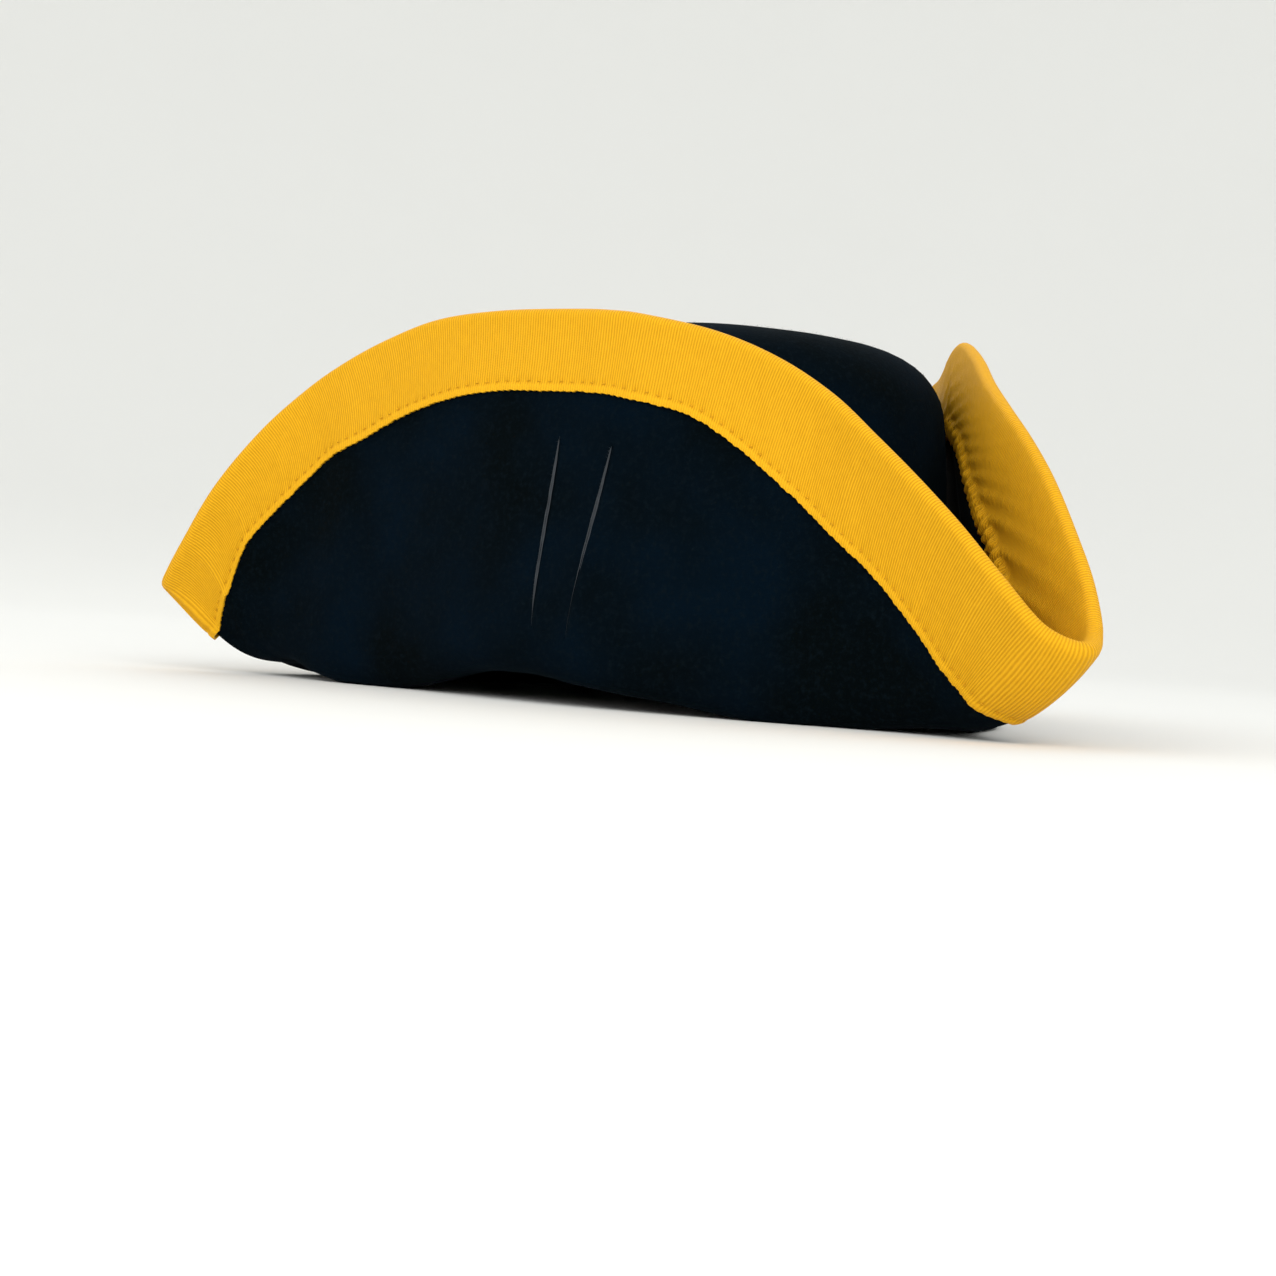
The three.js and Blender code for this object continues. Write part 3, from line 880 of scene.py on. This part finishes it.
class TRICORN_OT_fibres(bpy.types.Operator):
    """Loose wool fibres that stand on the felt"""

    bl_idname = "tricorn.fibres"
    bl_label = "Loose fibres"
    bl_options = {"REGISTER", "UNDO"}

    def execute(self, context):
        felt = context.scene.tricorn_felt
        form, grid, normals = felt_surface(felt)
        chance = random.Random(5)
        crown_rings = (FLAP_RINGS + FLOOR_RINGS, grid.shape[1] - 2)
        # The flap's first rings lie under the ribbon
        flap_rings = (12, FLAP_RINGS - 3)

        def add_loose(batch, index):
            station = chance.randrange(FELT_STATIONS)
            on_crown = index % 2 == 0
            ring = chance.randrange(*(crown_rings if on_crown else flap_rings))
            side = 1 if on_crown or chance.random() < 0.35 else -1
            share = chance.random()
            here = grid[station, ring] * (1 - share) + grid[(station + 1) % FELT_STATIONS, ring] * share
            normal = Vector(normals[station, ring]) * side
            root = Vector(here + form.middle) + normal * felt.thickness / 2
            loose = Vector([chance.gauss(0, 1) for _ in range(3)])
            flat = (loose - normal * loose.dot(normal)).normalized()
            aim = (flat + normal * chance.uniform(0.1, 0.75)).normalized()
            add_fibre(batch, root, aim, chance.uniform(0.0005, 0.0019), FIBRE_RADIUS)

        parts = bmesh.new()
        add_many(parts, felt.fibres, add_loose)
        piece = piece_from("loose_fibres", parts, smooth=False)
        finish_piece(piece, plain_fibre_material("loose wool", tuple(felt.fibre_colour)), "felt")
        return {"FINISHED"}


def ribbon_paths(felt, ribbon, stations):
    """What the ribbon and its stitches share: places, normals and the run along the edge."""
    form = HatForm(felt)
    position, edge = form.even_positions(stations)
    run = np.arange(stations) / stations * edge / MILLIMETRE
    saw = np.abs((run / 2.7) % 1 - 0.5) * 2
    ragged = np.array([noise.noise(Vector((value / 4.0, 0, 3))) for value in run])
    grid = form.leaf_grid(position, ribbon.half_width)
    scallop = (0.45 * saw + 0.35 * ragged) * MILLIMETRE
    grid = stretch_hem(grid, scallop)
    return form, position, edge, run, grid, grid_normals(grid)


def stretch_hem(grid, reach):
    """Move the hem along the leaf, and what lies near it less."""
    step = unit(grid[:, -1] - grid[:, -3])
    return grid + step[:, None, :] * reach[:, None, None] * LEAF_SHARES[None, :, None] ** 6


def gathers(run, turn, from_hem=0.0):
    """How much fullness the inner leaf has to take up here, and the lobes that it is gathered in.

    The run along the edge and the distance from the hem are in millimetres, as in leaf_relief.
    """
    around = from_front(turn)
    strength = np.exp(-(around / 72.0) ** 4) + 0.7 * np.exp(-((around - BACK_CORNER) / 12.0) ** 2)
    wander = 1.3 * np.sin(run / 17.0) + 0.8 * np.sin(run / 6.1)
    lobes = np.abs(np.sin((run + 0.7 * from_hem) / GATHER_PITCH * math.pi + wander))
    return np.clip(strength + 0.15, 0, 1), lobes


def leaf_relief(run, from_hem, turn, inner, ribbon):
    """How far the ribbon stands off: dents at the stitches, ripples, and gathers on the inner leaf."""
    inset = ribbon.stitch_inset / MILLIMETRE
    pitch = ribbon.stitch_pitch / MILLIMETRE
    puff = 0.22 * np.exp(-((from_hem - inset * 0.5) / (inset * 0.45)) ** 2)
    dent = np.exp(-((from_hem - inset) / 0.8) ** 2) * (0.55 + 0.45 * np.cos(run / pitch * 2 * math.pi))
    if not inner:
        ripple = np.sin((run + from_hem * 0.5) / 13.0 * 2 * math.pi + 2 * np.sin(run / 31.0))
        return (puff - 0.5 * dent + 0.09 * ripple * np.exp(-from_hem / 16.0)) * MILLIMETRE
    strength, lobes = gathers(run, turn, from_hem)
    band = np.exp(-((from_hem - 3.4) / 3.2) ** 6)
    rope = band * (0.5 + 1.9 * lobes)
    # The wrinkles run from the gathers to the front corner, on either flap
    to_front = np.where(turn % 360 < 180, 1, -1)
    slanted = to_front * run + from_hem * 2.3
    wave = np.sin(slanted / WRINKLE_PITCH * math.pi + 1.9 * np.sin(slanted / 29.0))
    crease = (1 - np.abs(wave)) ** 1.5 - 0.3
    fading = np.exp(-np.maximum(from_hem - 8, 0) / 12.0) * np.clip((from_hem - 6) / 1.5, 0, 1)
    return (puff + strength * (rope + 1.5 * crease * fading)) * MILLIMETRE


class TRICORN_OT_ribbon(bpy.types.Operator):
    """Grosgrain ribbon folded over the edge of the brim"""

    bl_idname = "tricorn.ribbon"
    bl_label = "Ribbon"
    bl_options = {"REGISTER", "UNDO"}

    def execute(self, context):
        felt, ribbon = context.scene.tricorn_felt, context.scene.tricorn_ribbon
        form, position, edge, run, grid, normals = ribbon_paths(felt, ribbon, RIBBON_STATIONS)
        turn = form.sections(position)[:, TURN]
        depth = np.linalg.norm(np.diff(grid, axis=1), axis=2)
        from_rim = np.concatenate([np.zeros((len(grid), 1)), np.cumsum(depth, axis=1)], axis=1) / MILLIMETRE
        from_hem = from_rim[:, -1:] - from_rim
        inside = felt.thickness / 2 + ribbon.gap * 0.5
        outside = felt.thickness / 2 + ribbon.gap + ribbon.thickness
        rise = unit(grid[:, 0] - grid[:, 1])
        columns, hems = [], []
        strength, lobes = gathers(run, turn)
        gathered = stretch_hem(grid, strength * (1.6 * lobes - 0.5) * MILLIMETRE)
        around = from_front(turn)
        corners = np.exp(-(around / 6) ** 2) + np.exp(-((around - BACK_CORNER) / 2) ** 2)
        fullness = ribbon.corner_fullness * corners

        def leaf(sign, distance, relief):
            lift = np.full(from_hem.shape, distance)
            if relief:
                lift += leaf_relief(run[:, None], from_hem, turn[:, None], sign > 0, ribbon)
                lift += fullness[:, None] * np.exp(-(from_rim / 11) ** 2)
            return (gathered if sign > 0 else grid) + normals * sign * lift[:, :, None]

        def over_rim(distance, steps, backwards=False):
            angles = np.linspace(0, math.pi, steps + 1)[1:-1]
            angles = angles[::-1] if backwards else angles
            reach = np.full(len(grid), distance)
            if not backwards:
                reach += fullness
            reach = reach[:, None]
            return [
                grid[:, 0] + (rise * math.sin(angle) - normals[:, 0] * math.cos(angle)) * reach
                for angle in angles
            ]

        outer, inner = leaf(-1, outside, True), leaf(1, outside, True)
        for ring in range(LEAF_STEPS, -1, -1):
            columns.append(outer[:, ring])
            hems.append(from_hem[:, ring])
        for point in over_rim(outside, RIM_STEPS):
            columns.append(point)
            hems.append(from_hem[:, 0])
        for ring in range(LEAF_STEPS + 1):
            columns.append(inner[:, ring])
            hems.append(from_hem[:, ring])
        hidden = (LEAF_STEPS, LEAF_STEPS * 2 // 3, LEAF_STEPS // 3, 0)
        outer_back, inner_back = leaf(-1, inside, False), leaf(1, inside, False)
        for ring in hidden:
            columns.append(inner_back[:, ring])
            hems.append(from_hem[:, ring])
        for point in over_rim(inside, RIM_STEPS // 2, backwards=True):
            columns.append(point)
            hems.append(from_hem[:, 0])
        for ring in hidden[::-1]:
            columns.append(outer_back[:, ring])
            hems.append(from_hem[:, ring])
        columns.append(columns[0])
        hems.append(hems[0])
        placed = np.stack(columns, axis=1) + form.middle
        placed[:, :, 2] = np.maximum(placed[:, :, 2], 0)
        piece = woven_grid("ribbon_binding", placed, {"from_hem": np.stack(hems, axis=1)})
        ribs = round(edge / ribbon.rib_pitch)
        finish_piece(piece, ribbon_material(ribbon, ribs), "ribbon", "edge_binding")
        return {"FINISHED"}


class TRICORN_OT_stitches(bpy.types.Operator):
    """Sewing thread that holds both edges of the ribbon to the felt"""

    bl_idname = "tricorn.stitches"
    bl_label = "Stitches"
    bl_options = {"REGISTER", "UNDO"}

    def execute(self, context):
        felt, ribbon = context.scene.tricorn_felt, context.scene.tricorn_ribbon
        _, edge = HatForm(felt).even_positions(1)
        count = round(edge / ribbon.stitch_pitch) * 2
        form, _, _, _, grid, normals = ribbon_paths(felt, ribbon, count)
        outside = felt.thickness / 2 + ribbon.gap + ribbon.thickness
        width = np.linalg.norm(np.diff(grid, axis=1), axis=2).sum(axis=1)
        chance = random.Random(3)

        def add_stitch(batch, index):
            sign = 1 if index % 2 else -1
            start = index // 2 * 2
            inset = ribbon.stitch_inset * (1.7 if sign > 0 else 1)
            share = 1 - inset / width[start]
            ring = int(np.searchsorted(LEAF_SHARES, share)) - 1
            blend = (share - LEAF_SHARES[ring]) / (LEAF_SHARES[ring + 1] - LEAF_SHARES[ring])
            rings = grid[:, ring] * (1 - blend) + grid[:, ring + 1] * blend
            first, second = Vector(rings[start]), Vector(rings[(start + 1) % count])
            normal = Vector(normals[start, ring]) * sign
            along = (second - first).normalized()
            along = (along + normal.cross(along) * chance.uniform(-0.2, 0.2)).normalized()
            across = normal.cross(along).normalized()
            turn = Matrix((along, across, along.cross(across))).transposed().to_4x4()
            place = (first + second) / 2 + normal * outside + Vector(form.middle)
            scale = Matrix.Diagonal(((second - first).length * 0.72, ribbon.thread, ribbon.thread, 1))
            bmesh.ops.create_uvsphere(
                batch, u_segments=8, v_segments=5, radius=0.5,
                matrix=Matrix.Translation(place) @ turn @ scale,
            )

        parts = bmesh.new()
        add_many(parts, count, add_stitch)
        piece = piece_from("ribbon_stitches", parts)
        finish_piece(piece, thread_material(ribbon), "ribbon")
        return {"FINISHED"}


class TRICORN_OT_studio(bpy.types.Operator):
    """Pale floor and backdrop, soft lights and the camera"""

    bl_idname = "tricorn.studio"
    bl_label = "Studio"
    bl_options = {"REGISTER", "UNDO"}

    def execute(self, context):
        studio = context.scene.tricorn_studio
        floor = studio_bowl()
        floor.data.materials.append(backdrop_material(studio))

        world = bpy.data.worlds.new("studio light")
        world.use_nodes = True
        world.node_tree.nodes["Background"].inputs["Color"].default_value = (0.95, 0.95, 0.94, 1)
        world.node_tree.nodes["Background"].inputs["Strength"].default_value = studio.daylight
        context.scene.world = world
        # The plain transform keeps the golden yellow as deep as the ribbon is
        context.scene.view_settings.view_transform = "Standard"

        middle = HatForm(context.scene.tricorn_felt).middle
        aim = Vector((middle[0], middle[1], studio.aim_height))
        add_light("key", aim, Vector((-0.5, -1.6, 0.7)), size=1.3, power=15)
        add_light("fill", aim, Vector((-1.6, -0.4, 0.6)), size=1.3, power=7)
        add_light("rim", aim, Vector((0.3, 1.5, 1.2)), size=1.2, power=4)

        camera = bpy.data.objects.new("camera", bpy.data.cameras.new("camera"))
        context.scene.collection.objects.link(camera)
        camera.data.lens = studio.focal_length
        camera.data.sensor_width = 36
        camera.data.clip_start = 0.01
        camera.data.shift_x = -AIM_RIGHT / PICTURE_SIDE
        camera.data.shift_y = -AIM_ABOVE / PICTURE_SIDE
        away = Vector((
            math.sin(studio.azimuth) * math.cos(studio.elevation),
            -math.cos(studio.azimuth) * math.cos(studio.elevation),
            math.sin(studio.elevation),
        ))
        camera.location = aim + away * studio.distance
        camera.rotation_euler = (
            away.to_track_quat("Z", "Y").to_matrix() @ Matrix.Rotation(studio.roll, 3, "Z")
        ).to_euler()
        context.scene.camera = camera
        return {"FINISHED"}


def studio_bowl():
    """A floor that sweeps up into a backdrop all the way round, so that no horizon shows."""
    floor_radius = 1.6
    sweep = 2.4
    steps = 20
    form = bmesh.new()
    bmesh.ops.create_circle(form, segments=96, radius=floor_radius)
    rim = form.edges[:]
    bmesh.ops.contextual_create(form, geom=rim)
    for step in range(steps):
        made = bmesh.ops.extrude_edge_only(form, edges=rim)["geom"]
        rim = [item for item in made if isinstance(item, bmesh.types.BMEdge)]
        raised = [item for item in made if isinstance(item, bmesh.types.BMVert)]
        before, after = (math.pi / 2 * (step + extra) / steps for extra in (0, 1))
        radius_before = floor_radius + sweep * math.sin(before)
        radius_after = floor_radius + sweep * math.sin(after)
        grow = radius_after / radius_before
        bmesh.ops.scale(form, vec=(grow, grow, 1), verts=raised)
        lift = sweep * (math.cos(before) - math.cos(after))
        bmesh.ops.translate(form, vec=(0, 0, lift), verts=raised)
    bmesh.ops.recalc_face_normals(form, faces=form.faces)
    return piece_from("studio_floor", form)


def add_light(name, aim, offset, size, power):
    data = bpy.data.lights.new(name, "AREA")
    data.shape = "DISK"
    data.size = size
    data.energy = power
    light = bpy.data.objects.new(name, data)
    light.location = aim + offset
    light.rotation_euler = offset.to_track_quat("Z", "Y").to_euler()
    bpy.context.scene.collection.objects.link(light)


class TRICORN_PT_panel(bpy.types.Panel):
    """Lists the pieces of the hat and their settings"""

    bl_idname = "TRICORN_PT_panel"
    bl_label = "Tricorn Hat"
    bl_space_type = "VIEW_3D"
    bl_region_type = "UI"
    bl_category = "Tricorn"

    def draw(self, context):
        layout, scene = self.layout, context.scene
        for operator in OPERATORS:
            layout.operator(operator.bl_idname)
        for settings in (scene.tricorn_felt, scene.tricorn_ribbon, scene.tricorn_studio):
            box = layout.box()
            for name in settings.__annotations__:
                box.prop(settings, name)


OPERATORS = (
    TRICORN_OT_felt,
    TRICORN_OT_slit_lips,
    TRICORN_OT_fibres,
    TRICORN_OT_ribbon,
    TRICORN_OT_stitches,
    TRICORN_OT_studio,
)
SETTINGS = (FeltSettings, RibbonSettings, StudioSettings)


def register():
    for item in SETTINGS + OPERATORS + (TRICORN_PT_panel,):
        bpy.utils.register_class(item)
    bpy.types.Scene.tricorn_felt = PointerProperty(type=FeltSettings)
    bpy.types.Scene.tricorn_ribbon = PointerProperty(type=RibbonSettings)
    bpy.types.Scene.tricorn_studio = PointerProperty(type=StudioSettings)


def unregister():
    del bpy.types.Scene.tricorn_felt
    del bpy.types.Scene.tricorn_ribbon
    del bpy.types.Scene.tricorn_studio
    for item in reversed(SETTINGS + OPERATORS + (TRICORN_PT_panel,)):
        bpy.utils.unregister_class(item)


def main():
    register()
    bpy.ops.tricorn.felt()
    bpy.ops.tricorn.slit_lips()
    bpy.ops.tricorn.fibres()
    bpy.ops.tricorn.ribbon()
    bpy.ops.tricorn.stitches()
    bpy.ops.tricorn.studio()


if __name__ == "__main__":
    main()
